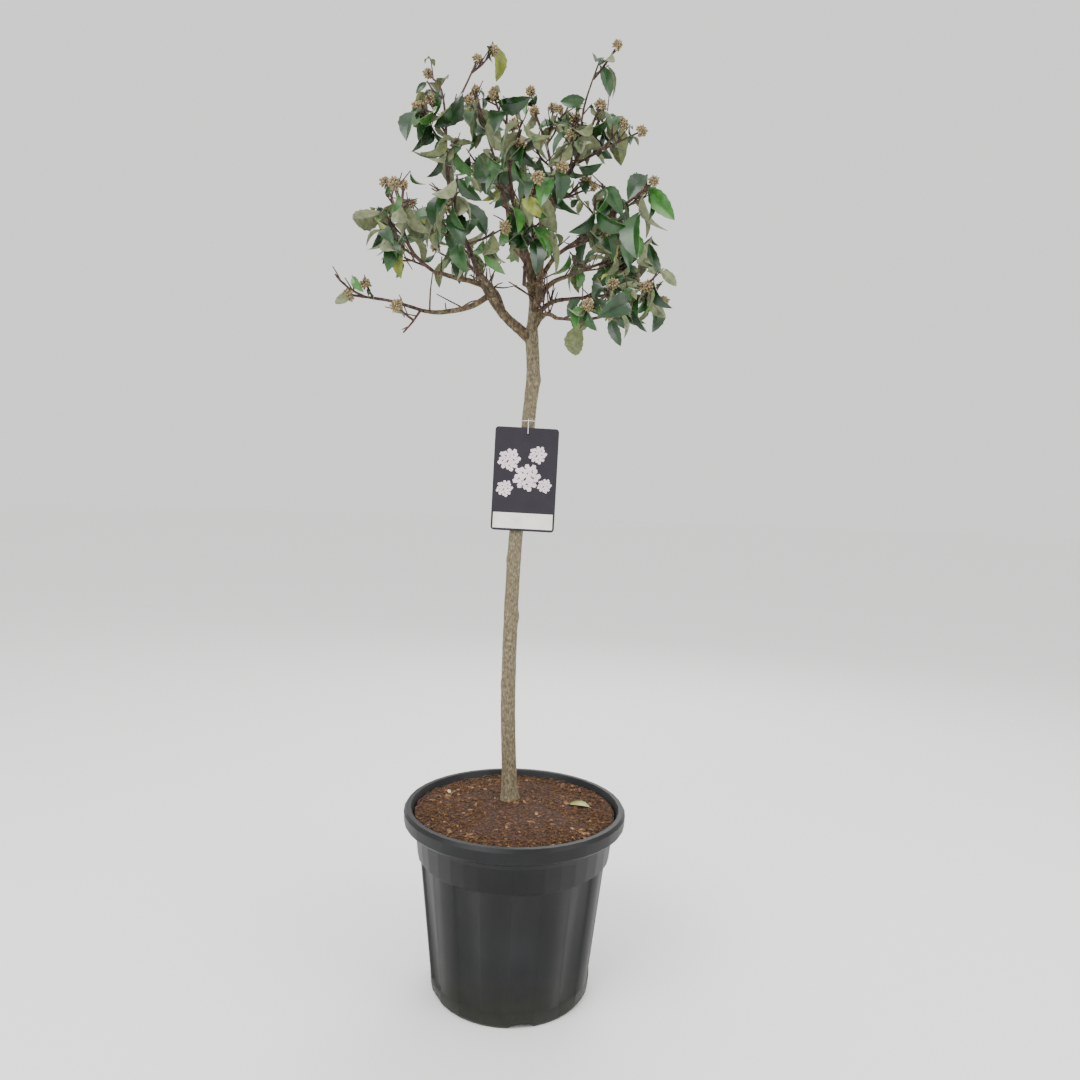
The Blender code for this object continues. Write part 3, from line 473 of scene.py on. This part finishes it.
class Canopy:
    def __init__(self, paths):
        self.twigs, self.leaves, self.buds = [], [], []
        self.guides = {name: self.guide(name, paths) for name in masses}
        low, high = cadBox
        margin = rule["boxMargin"]
        self.low = Vector(low) - Vector((margin, margin, 0.0))
        self.high = Vector(high) + Vector((margin, margin, margin))

    def guide(self, name, paths):
        stem = stemPath(name, paths)
        lines = [stem] + [shootPath(f"{name}-leader-{number}", stem, shoot)
                          for number, shoot in enumerate(leaders.get(name, ()))]
        parts = rule["guideParts"]
        points = [pointAlong(line, i / parts) for line in lines for i in range(parts + 1)]
        tree = KDTree(len(points))
        for i, point in enumerate(points):
            tree.insert(point, i)
        tree.balance()
        return tree

    def allows(self, mass, points):
        for point in points:
            if any(not low <= value <= high for value, low, high in zip(point, self.low, self.high)):
                return False
            own = self.guides[mass].find(point)[2]
            if any(tree.find(point)[2] < own for name, tree in self.guides.items() if name != mass):
                return False
        return True

    def addLeaf(self, mass, name, root, along, face, length, width):
        along = along.normalized()
        across = along.cross(face).normalized()
        face = across.cross(along).normalized()
        if not self.allows(mass, [root + along * length * share for share in (0.5, 1.0)]):
            return
        rng = random.Random(name + "tint")
        spin = rng.choice(leafPose["turns"]) + rng.uniform(-leafPose["stray"], leafPose["stray"])
        face = Quaternion(along, radians(spin)) @ face
        across = along.cross(face).normalized()
        turn = Matrix((across, along, face)).transposed()
        size = Matrix.Diagonal((length * width, length, length))
        matrix = Matrix.Translation(root) @ (turn @ size).to_4x4()
        top = rng.choice(tintOdds)
        under = len(leafTops) + rng.choice((0, 0, 1))
        self.leaves.append((rng.randrange(leafShape["kinds"]), matrix, {0: top, 1: under}))

    def leafPair(self, mass, name, path, at, turn, length, share):
        rng = random.Random(name)
        root = pointAlong(path, at)
        axis = tangentAlong(path, at)
        level = axis.cross(up)
        side = (level if level.length > 0.05 else Vector((1, 0, 0))).normalized()
        side = Quaternion(axis, radians(turn)) @ side
        for sign in (-1, 1):
            droop = rng.uniform(*rule["leafDroop"])
            along = axis * rng.uniform(*pairs["forward"]) + side * sign - up * droop
            stray = [rng.uniform(-pairs["stray"], pairs["stray"]) for axisNumber in range(2)]
            face = up + side * sign * pairs["lean"] + Vector((*stray, 0))
            size = length * rng.uniform(*pairs["sizes"])
            if rng.random() < share * thinned.get(mass, 1.0):
                width = rule["leafWidth"] * rng.uniform(*pairs["widths"])
                self.addLeaf(mass, f"{name}{sign}", root, along, face, size, width)

    def dress(self, mass, name, path, end, leaf, share):
        if end == "buds":
            axis = tangentAlong(path, 1.0)
            self.addBud(name, path[-1] + axis * rule["budRadius"] * 0.5, axis)
        for at, turn in pairs["places"][end]:
            spin = turn + random.Random(name + "turn").uniform(-pairs["spin"], pairs["spin"])
            self.leafPair(mass, f"{name}-{at}", path, at, spin, leaf, share)

    def addBud(self, name, place, axis):
        rng = random.Random(name + "bud")
        turn = up.rotation_difference(axis).to_matrix().to_4x4()
        size = Matrix.Scale(rule["budRadius"] * rng.uniform(*budShape["heads"]), 4)
        self.buds.append((rng.randrange(budShape["kinds"]), Matrix.Translation(place) @ turn @ size, {}))

    def growShoot(self, mass, name, parent, shoot, twigs):
        path = shootPath(name, parent, shoot)
        at, heading, rise, length, bow, end, leaf = shoot
        if not self.allows(mass, [path[-1]]):
            return
        line = smoothPath(path, 4)
        radii = taperAlong(len(line), rule["shootRadius"], rule["shootTipRadius"], 1, name)
        self.twigs.append((line, radii))
        if length > rule["forkOver"]:
            for number in range(twigs):
                twig = seededShoot(name, number, twigs, heading, rise, length * rule["forkLength"], leaf)
                self.growShoot(mass, f"{name}-{number}", path, twig, 0)
        for number in range(fine["count"]):
            self.growFine(mass, f"{name}-fine-{number}", path, heading, rise, leaf)
        self.dress(mass, name, path, end, leaf, rule["leafShare"])

    def growFine(self, mass, name, parent, heading, rise, leaf):
        rng = random.Random(name)
        at = rng.uniform(*fine["at"])
        heading += rng.uniform(-fine["swing"], fine["swing"])
        rise = rise * fine["rise"] + rng.uniform(*fine["lift"])
        length = fine["length"] * rng.uniform(*fine["lengths"])
        end = rng.choice(fine["ends"])
        path = shootPath(name, parent, (at, heading, rise, length, 0.0, end, leaf))
        if not self.allows(mass, [path[-1]]):
            return
        line = smoothPath(path, 2)
        self.twigs.append((line, taperAlong(len(line), *fine["radii"], 1, name)))
        if end != "bare":
            size, share = leaf * fine["leafSize"], fine["leafShare"]
            if end == "small":
                size, share = fine["smallLeaf"], fine["smallShare"]
            self.leafPair(mass, name + "pair", path, fine["leafAt"], 0, size, share)

    def growThicket(self, bough, path):
        rng = random.Random(bough + "thicket")
        for number in range(thicket["perBough"]):
            shoot = (rng.uniform(*thicket["at"]), rng.uniform(0, 360), rng.uniform(*thicket["rise"]),
                     thicket["length"] * rng.uniform(*thicket["lengths"]),
                     rng.uniform(-thicket["bow"], thicket["bow"]), "bare", 0.0)
            line = smoothPath(shootPath(f"{bough}-thicket-{number}", path, shoot), 3)
            self.twigs.append((line, taperAlong(len(line), *thicket["radii"], 1, f"{bough}{number}")))

    def growMass(self, name, paths):
        bough, heading, rise, length, bow, shoots, leaf = masses[name]
        stem = stemPath(name, paths)
        line = smoothPath(stem, 5)
        base = boughs[bough][7] * rule["stemShare"]
        self.twigs.append((line, taperAlong(len(line), base, rule["stemTipRadius"], 1, name)))
        for number, shoot in enumerate(leaders.get(name, ())):
            self.growShoot(name, f"{name}-leader-{number}", stem, shoot, rule["leaderTwigs"])
        for number in range(shoots):
            shoot = seededShoot(name, number, shoots, heading, rise, rule["shootLength"], leaf)
            self.growShoot(name, f"{name}-{number}", stem, shoot, rule["twigsPerShoot"])
        self.dress(name, name, stem, "buds", leaf * rule["tipLeaf"], rule["leafShare"])


# Leaf, in a few kinds: an oval blade on a short stalk, folded and arched, with sunk side veins

leafShape = {"kinds": 6, "across": 4, "rows": 12, "stalk": 0.09, "stalkWidth": 0.07, "thickness": 0.010,
             "widest": 0.86, "blunt": 0.78, "fold": 0.22, "folds": (0.5, 1.3), "arch": 0.12, "curl": 0.27,
             "curls": (0.3, 1.4), "tipDrop": 0.6, "twist": 0.4, "vein": 0.014, "veined": (0.2, 0.9),
             "teeth": 0.05}


def leafTemplate(number):
    rng = random.Random(f"leaf {number}")
    fold = leafShape["fold"] * rng.uniform(*leafShape["folds"])
    curl = leafShape["curl"] * rng.uniform(*leafShape["curls"])
    twist = rng.uniform(-leafShape["twist"], leafShape["twist"])
    bm = bmesh.new()
    bmesh.ops.create_grid(bm, x_segments=leafShape["across"], y_segments=leafShape["rows"], size=0.5)
    for vert in bm.verts:
        side = vert.co.x * 2
        t = vert.co.y + 0.5
        s = max(0.0, (t - leafShape["stalk"]) / (1 - leafShape["stalk"]))
        blade = sin(pi * s ** leafShape["widest"]) ** leafShape["blunt"] if 0 < s < 1 else 0.0
        row = round(t * leafShape["rows"])
        tooth = 1 + leafShape["teeth"] * (-1) ** row * abs(side)
        width = max(leafShape["stalkWidth"] * (1 - s), blade * tooth)
        x = side * width / 2
        z = fold * abs(x) + leafShape["arch"] * sin(pi * t) - curl * t ** 2 * leafShape["tipDrop"]
        if leafShape["veined"][0] < abs(side) < leafShape["veined"][1]:
            z += leafShape["vein"] * blade * (-1) ** row
        vert.co = Vector((x, t, z + twist * x * t * 0.5))
    bmesh.ops.recalc_face_normals(bm, faces=bm.faces)
    if sum(face.normal.z for face in bm.faces) < 0:
        bmesh.ops.reverse_faces(bm, faces=bm.faces)
    bmesh.ops.solidify(bm, geom=bm.faces[:], thickness=leafShape["thickness"])
    bmesh.ops.recalc_face_normals(bm, faces=bm.faces)
    for face in bm.faces:
        face.material_index = 0 if face.normal.z > 0 else 1
    return meshFromBmesh(bm)


# Bud head: small oval buds packed over a dome

budShape = {"kinds": 3, "heads": (0.85, 1.1), "count": 36, "dome": 1.75, "size": 0.17, "sizes": (0.8, 1.2),
            "long": 1.9, "reach": (0.42, 0.70)}


def budTemplate(number):
    rng = random.Random(f"bud {number}")
    bm = bmesh.new()
    for i in range(budShape["count"]):
        height = 1 - budShape["dome"] * (i + 0.5) / budShape["count"]
        turn = i * radians(rule["turn"])
        flat = (1 - height ** 2) ** 0.5
        outward = Vector((flat * cos(turn), flat * sin(turn), height))
        place = outward * rng.uniform(*budShape["reach"])
        radius = budShape["size"] * rng.uniform(*budShape["sizes"])
        made = bmesh.ops.create_icosphere(bm, subdivisions=1, radius=radius)
        stretch = Matrix.Diagonal((1, 1, budShape["long"], 1))
        spin = up.rotation_difference(outward).to_matrix().to_4x4()
        bmesh.ops.transform(bm, matrix=Matrix.Translation(place) @ spin @ stretch, verts=made["verts"])
    return meshFromBmesh(bm)


# A shed leaf on the soil
shed = {"place": (0.14, 0.011, 0.3215), "turn": 65, "length": 0.046, "width": 0.40, "flat": 0.5}


def fallenLeaf():
    length = shed["length"]
    size = Matrix.Diagonal((length * shed["width"], length, length * shed["flat"], 1))
    spot = Matrix.Translation(shed["place"]) @ Matrix.Rotation(radians(shed["turn"]), 4, "Z")
    return 1, spot @ size, {0: len(leafTops) - 1, 1: len(leafTops) + 1}


def makeFoliage(paths):
    canopy = Canopy(paths)
    for name in masses:
        canopy.growMass(name, paths)
    for name in boughs:
        canopy.growThicket(name, paths[name])
    canopy.leaves.append(fallenLeaf())
    print("foliage:", len(canopy.leaves), "leaves,", len(canopy.twigs), "twigs,",
          len(canopy.buds), "bud heads")
    tops = [waxyLeaf(*colors) for colors in leafTops]
    unders = [feltedLeaf(*colors) for colors in leafUnders]
    leaves = joinCopies([leafTemplate(number) for number in range(leafShape["kinds"])], canopy.leaves)
    finishPiece("leaves", leaves, tops + unders, [name for name in masses])
    finishPiece("twigs", tubesAlong(canopy.twigs, 1), [youngBark("twigBark", twigColors, 6)])
    buds = joinCopies([budTemplate(number) for number in range(budShape["kinds"])], canopy.buds)
    finishPiece("bud_heads", buds, [downyBud()], smoothAngle=80)


# Trunk and boughs, with the bark's relief

barkShape = {"rows": 420, "resolution": 8, "blankRadius": 0.010, "core": 0.005, "ridge": 0.0005,
             "grain": 260, "stretch": 0.18, "footBand": 0.0005, "boughParts": 8, "boughResolution": 5,
             "boughSwelling": 0.5}


def roughen(mesh, ridge):
    bm = bmesh.new()
    bm.from_mesh(mesh)
    bm.normal_update()
    low = min(vert.co.z for vert in bm.verts)
    for vert in bm.verts:
        if vert.co.z > low + barkShape["footBand"]:
            place = vert.co * barkShape["grain"]
            place.z *= barkShape["stretch"]
            vert.co += vert.normal * ridge * noise.noise(place)
    bm.to_mesh(mesh)
    bm.free()
    return mesh


def makeTrunk():
    path = trunkPath(barkShape["rows"])
    mesh = tubesAlong([(path, [barkShape["blankRadius"]] * len(path))], barkShape["resolution"])
    bm = bmesh.new()
    bm.from_mesh(mesh)
    for vert in bm.verts:
        height = min(max(vert.co.z - trunk["foot"], 0.0), trunk["length"])
        center = Vector((trunkX(height), trunk["y"], vert.co.z))
        spoke = vert.co - center
        if spoke.length > barkShape["core"]:
            turn = Vector((1, 0)).angle_signed(Vector((spoke.x, spoke.y)))
            wanted = trunkRadius(height, -turn)
            vert.co = center + spoke.normalized() * wanted
            vert.co.z = center.z
    bm.to_mesh(mesh)
    bm.free()
    bark = youngBark("stemBark", barkColors, 3.4)
    finishPiece("trunk_bark", roughen(mesh, barkShape["ridge"]), [bark], ["trunk"])


def makeBoughs(paths):
    lines = []
    for name, bough in boughs.items():
        line = smoothPath(paths[name], barkShape["boughParts"])
        lines.append((line, taperAlong(len(line), bough[6], bough[7], barkShape["boughSwelling"], name)))
    mesh = roughen(tubesAlong(lines, barkShape["boughResolution"]), barkShape["ridge"])
    finishPiece("bough_bark", mesh, [youngBark("boughBark", boughColors, 5)], list(boughs))


# Soil: coir with loose fibres, a fallen leaf and a chip

soilShape = {"radius": 0.178, "level": 0.3190, "uneven": 0.001, "fibres": 1500, "fibreLength": (0.010, 0.038),
             "fibreRadius": 0.00045, "fibreSizes": (0.6, 1.5), "fibreSteps": 4, "bend": 0.5, "arch": 0.003,
             "overhang": 0.004, "edge": 0.003, "sides": 96, "rings": 26, "ringWidth": 0.0068, "sunk": 0.0008,
             # grain to the metre, and height
             "lumps": ((90, 0.0022), (300, 0.0012))}


def makeSoil():
    rng = random.Random("fibres")
    lines = []
    for i in range(soilShape["fibres"]):
        reach = soilShape["radius"] * rng.random() ** 0.5
        turn = rng.uniform(0, 2 * pi)
        heading = rng.uniform(0, 2 * pi)
        length = rng.uniform(*soilShape["fibreLength"])
        level = soilShape["level"] + rng.uniform(-soilShape["uneven"], soilShape["uneven"])
        start = Vector((reach * cos(turn), reach * sin(turn), level))
        line = []
        for step in range(soilShape["fibreSteps"] + 1):
            t = step / soilShape["fibreSteps"]
            bend = heading + rng.uniform(-soilShape["bend"], soilShape["bend"])
            point = start + Vector((cos(bend), sin(bend), 0)) * length * t
            point += up * soilShape["arch"] * sin(pi * t) * rng.random()
            if Vector((point.x, point.y)).length < soilShape["radius"] + soilShape["overhang"]:
                line.append(point)
        if len(line) > 1:
            radius = soilShape["fibreRadius"] * rng.uniform(*soilShape["fibreSizes"])
            lines.append((line, [radius] * len(line)))
    fibre = youngBark("coirStrand", ("#2f1c0f", "#50331c", "#6f4f2c", "#94734a"), 8)
    finishPiece("coir_fibres", tubesAlong(lines, 0), [fibre])
    bm = bmesh.new()
    bmesh.ops.create_circle(bm, cap_ends=True, cap_tris=False, segments=soilShape["sides"],
                            radius=soilShape["radius"] + soilShape["edge"])
    face = bm.faces[:]
    for ring in range(soilShape["rings"]):
        bmesh.ops.inset_region(bm, faces=face, thickness=soilShape["ringWidth"], use_even_offset=True)
    for vert in bm.verts:
        lump = sum(noise.noise(vert.co * grain) * height for grain, height in soilShape["lumps"])
        vert.co.z = soilShape["level"] - soilShape["sunk"] + lump
    bmesh.ops.recalc_face_normals(bm, faces=bm.faces)
    finishPiece("soil_top", meshFromBmesh(bm), [coirFibre()])
    makeChips()


# Chips of husk scattered on the soil, with one larger pale one

chipShape = {"count": 150, "size": (0.0022, 0.0065), "flat": 0.4, "radius": 0.172, "lift": 0.0006,
             "knobs": (0.7, 1.2), "long": (0.9, 1.8), "wide": (0.5, 1.0), "tip": 0.5,
             "pale": (-0.129, 0.074), "paleSize": 0.0085}


def addChip(bm, spot, size, rng):
    made = bmesh.ops.create_icosphere(bm, subdivisions=1, radius=size)
    for vert in made["verts"]:
        vert.co *= rng.uniform(*chipShape["knobs"])
    long, wide = rng.uniform(*chipShape["long"]), rng.uniform(*chipShape["wide"])
    stretch = Matrix.Diagonal((long, wide, chipShape["flat"], 1))
    turn = Matrix.Rotation(rng.uniform(0, 2 * pi), 4, "Z")
    turn = turn @ Matrix.Rotation(rng.uniform(-chipShape["tip"], chipShape["tip"]), 4, "X")
    place = Matrix.Translation((*spot, soilShape["level"] + chipShape["lift"]))
    bmesh.ops.transform(bm, matrix=place @ turn @ stretch, verts=made["verts"])


def makeChips():
    rng = random.Random("chips")
    bm = bmesh.new()
    for number in range(chipShape["count"]):
        reach = chipShape["radius"] * rng.random() ** 0.5
        turn = rng.uniform(0, 2 * pi)
        addChip(bm, (reach * cos(turn), reach * sin(turn)), rng.uniform(*chipShape["size"]), rng)
    husk = youngBark("huskChip", ("#341f10", "#5a3b20", "#83603a", "#ad8b5e"), 6)
    finishPiece("husk_chips", meshFromBmesh(bm), [husk])
    pale = bmesh.new()
    addChip(pale, chipShape["pale"], chipShape["paleSize"], rng)
    finishPiece("pale_chip", meshFromBmesh(pale), [coatedCard("dryHusk", "#b9a98c", 0.9)])


# Tag: flower heads printed on dark card over a plain white strip

tagShape = {"heads": ((-0.030, 0.035, 0.019), (0.022, 0.046, 0.015), (0.004, 0.004, 0.023),
                      (0.037, -0.010, 0.012), (-0.036, -0.018, 0.014)),
            "florets": 26, "floretSize": 0.22, "floretSides": 5, "floretStep": 0.000004,
            "stripTop": -0.062, "border": 0.002, "inset": 0.0035, "ink": 0.0001, "clear": 0.00005,
            "tilt": 1.2}


def tagPlate(bm, corners, front, depth):
    face = bm.faces.new([bm.verts.new((x, front, z)) for x, z in corners])
    made = bmesh.ops.extrude_face_region(bm, geom=[face])
    moved = [item for item in made["geom"] if isinstance(item, bmesh.types.BMVert)]
    bmesh.ops.translate(bm, vec=(0, -depth, 0), verts=moved)


def makeTag():
    low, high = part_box("tag")
    center = (low + high) / 2
    front = low.y - tagShape["clear"]
    strip = bmesh.new()
    half = (high.x - low.x) / 2 - tagShape["border"] - tagShape["inset"]
    bottom = low.z - center.z + tagShape["border"] + tagShape["inset"]
    corners = [(-half, bottom), (half, bottom), (half, tagShape["stripTop"]), (-half, tagShape["stripTop"])]
    lean = Matrix.Rotation(radians(tagShape["tilt"]), 4, "Y")
    tilt = Matrix.Translation(center) @ lean @ Matrix.Translation(-center)
    tagPlate(strip, [(center.x + x, center.z + z) for x, z in corners], front, tagShape["ink"])
    bmesh.ops.transform(strip, matrix=tilt, verts=strip.verts)
    bmesh.ops.recalc_face_normals(strip, faces=strip.faces)
    finishPiece("tag_strip", meshFromBmesh(strip), [coatedCard("whiteCard", "#dcdad2", 0.4)])
    petals = bmesh.new()
    rng = random.Random("florets")
    for x, z, radius in tagShape["heads"]:
        for i in range(tagShape["florets"]):
            reach = radius * ((i + 0.5) / tagShape["florets"]) ** 0.5
            turn = radians(rule["turn"]) * i
            spot = Vector((center.x + x + reach * cos(turn), front, center.z + z + reach * sin(turn)))
            made = bmesh.ops.create_circle(petals, cap_ends=True, segments=tagShape["floretSides"],
                                           radius=radius * tagShape["floretSize"])
            lean = Matrix.Rotation(rng.uniform(0, 2 * pi), 4, "Y") @ Matrix.Rotation(pi / 2, 4, "X")
            lift = Vector((0, -tagShape["clear"] - tagShape["floretStep"] * i, 0))
            bmesh.ops.transform(petals, matrix=Matrix.Translation(spot + lift) @ lean, verts=made["verts"])
    bmesh.ops.transform(petals, matrix=tilt, verts=petals.verts)
    finishPiece("tag_flowers", meshFromBmesh(petals), [coatedCard("printedPetal", "#d9c8cf", 0.4)])


# Carried pieces: right in shape, given their real finish

potShape = {"weld": 0.00002, "smoothAngle": 24}


def makePot():
    # The solid's own shape, welded so that the round wall shades smooth
    bm = bmesh.new()
    bm.from_mesh(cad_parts["pot"].data)
    bmesh.ops.transform(bm, matrix=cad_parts["pot"].matrix_world, verts=bm.verts)
    bmesh.ops.remove_doubles(bm, verts=bm.verts, dist=potShape["weld"])
    finishPiece("pot_moulded", meshFromBmesh(bm), [mouldedPolypropylene()], ["pot"],
                potShape["smoothAngle"])


def dressCarried():
    finishes = {"soil": coirFibre(), "tag": coatedCard("darkCard", "#1a1420", 0.35),
                "tag_loop": coatedCard("whiteThread", "#d8d6cc", 0.5)}
    for name, material in finishes.items():
        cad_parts[name].data.materials.clear()
        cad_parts[name].data.materials.append(material)


# Stage: pale floor, soft light, the photograph's camera

stageSetup = {"floor": "#fdfdfc", "sky": "#f4f4f2", "skyStrength": 1.30, "floorRadius": 60,
              # place, aim, width, power
              "lamps": (((-1.8, -2.2, 3.2), (0, 0, 0.9), 2.2, 110), ((2.4, -1.4, 2.2), (0, 0, 0.9), 1.8, 40),
                        ((0.6, 2.4, 2.6), (0, 0, 1.1), 1.8, 50))}
cameraSetup = {"place": (0.0297, -1.44, 0.8709), "pitch": 0.0411, "roll": 0.0332, "focalPixels": 800,
               "frame": 1080, "sensor": 36}


def makeStage():
    bm = bmesh.new()
    bmesh.ops.create_circle(bm, cap_ends=True, segments=64, radius=stageSetup["floorRadius"])
    floor = bpy.data.objects.new("floor", meshFromBmesh(bm))
    scene.collection.objects.link(floor)
    paper, tree, shader, place = startMaterial("seamlessPaper", 0.9)
    shader.inputs["Base Color"].default_value = linear(stageSetup["floor"])
    floor.data.materials.append(paper)
    world = bpy.data.worlds.new("studio")
    world.use_nodes = True
    world.node_tree.nodes["Background"].inputs["Color"].default_value = linear(stageSetup["sky"])
    world.node_tree.nodes["Background"].inputs["Strength"].default_value = stageSetup["skyStrength"]
    scene.world = world
    for number, (place, aim, width, power) in enumerate(stageSetup["lamps"]):
        lamp = bpy.data.lights.new(f"lamp{number}", "AREA")
        lamp.size = width
        lamp.energy = power
        holder = bpy.data.objects.new(f"lamp{number}", lamp)
        holder.location = place
        holder.rotation_euler = (Vector(aim) - Vector(place)).to_track_quat("-Z", "Y").to_euler()
        scene.collection.objects.link(holder)
    lens = bpy.data.cameras.new("photoCamera")
    lens.sensor_width = cameraSetup["sensor"]
    lens.lens = cameraSetup["focalPixels"] / cameraSetup["frame"] * lens.sensor_width
    camera = bpy.data.objects.new("photoCamera", lens)
    tilt = Matrix.Rotation(pi / 2 - cameraSetup["pitch"], 4, "X")
    tilt = tilt @ Matrix.Rotation(cameraSetup["roll"], 4, "Z")
    camera.matrix_world = Matrix.Translation(cameraSetup["place"]) @ tilt
    scene.collection.objects.link(camera)
    scene.camera = camera


limbPaths = layOutLimbs()
makeStage()
makePot()
dressCarried()
makeTrunk()
makeBoughs(limbPaths)
makeFoliage(limbPaths)
makeSoil()
makeTag()
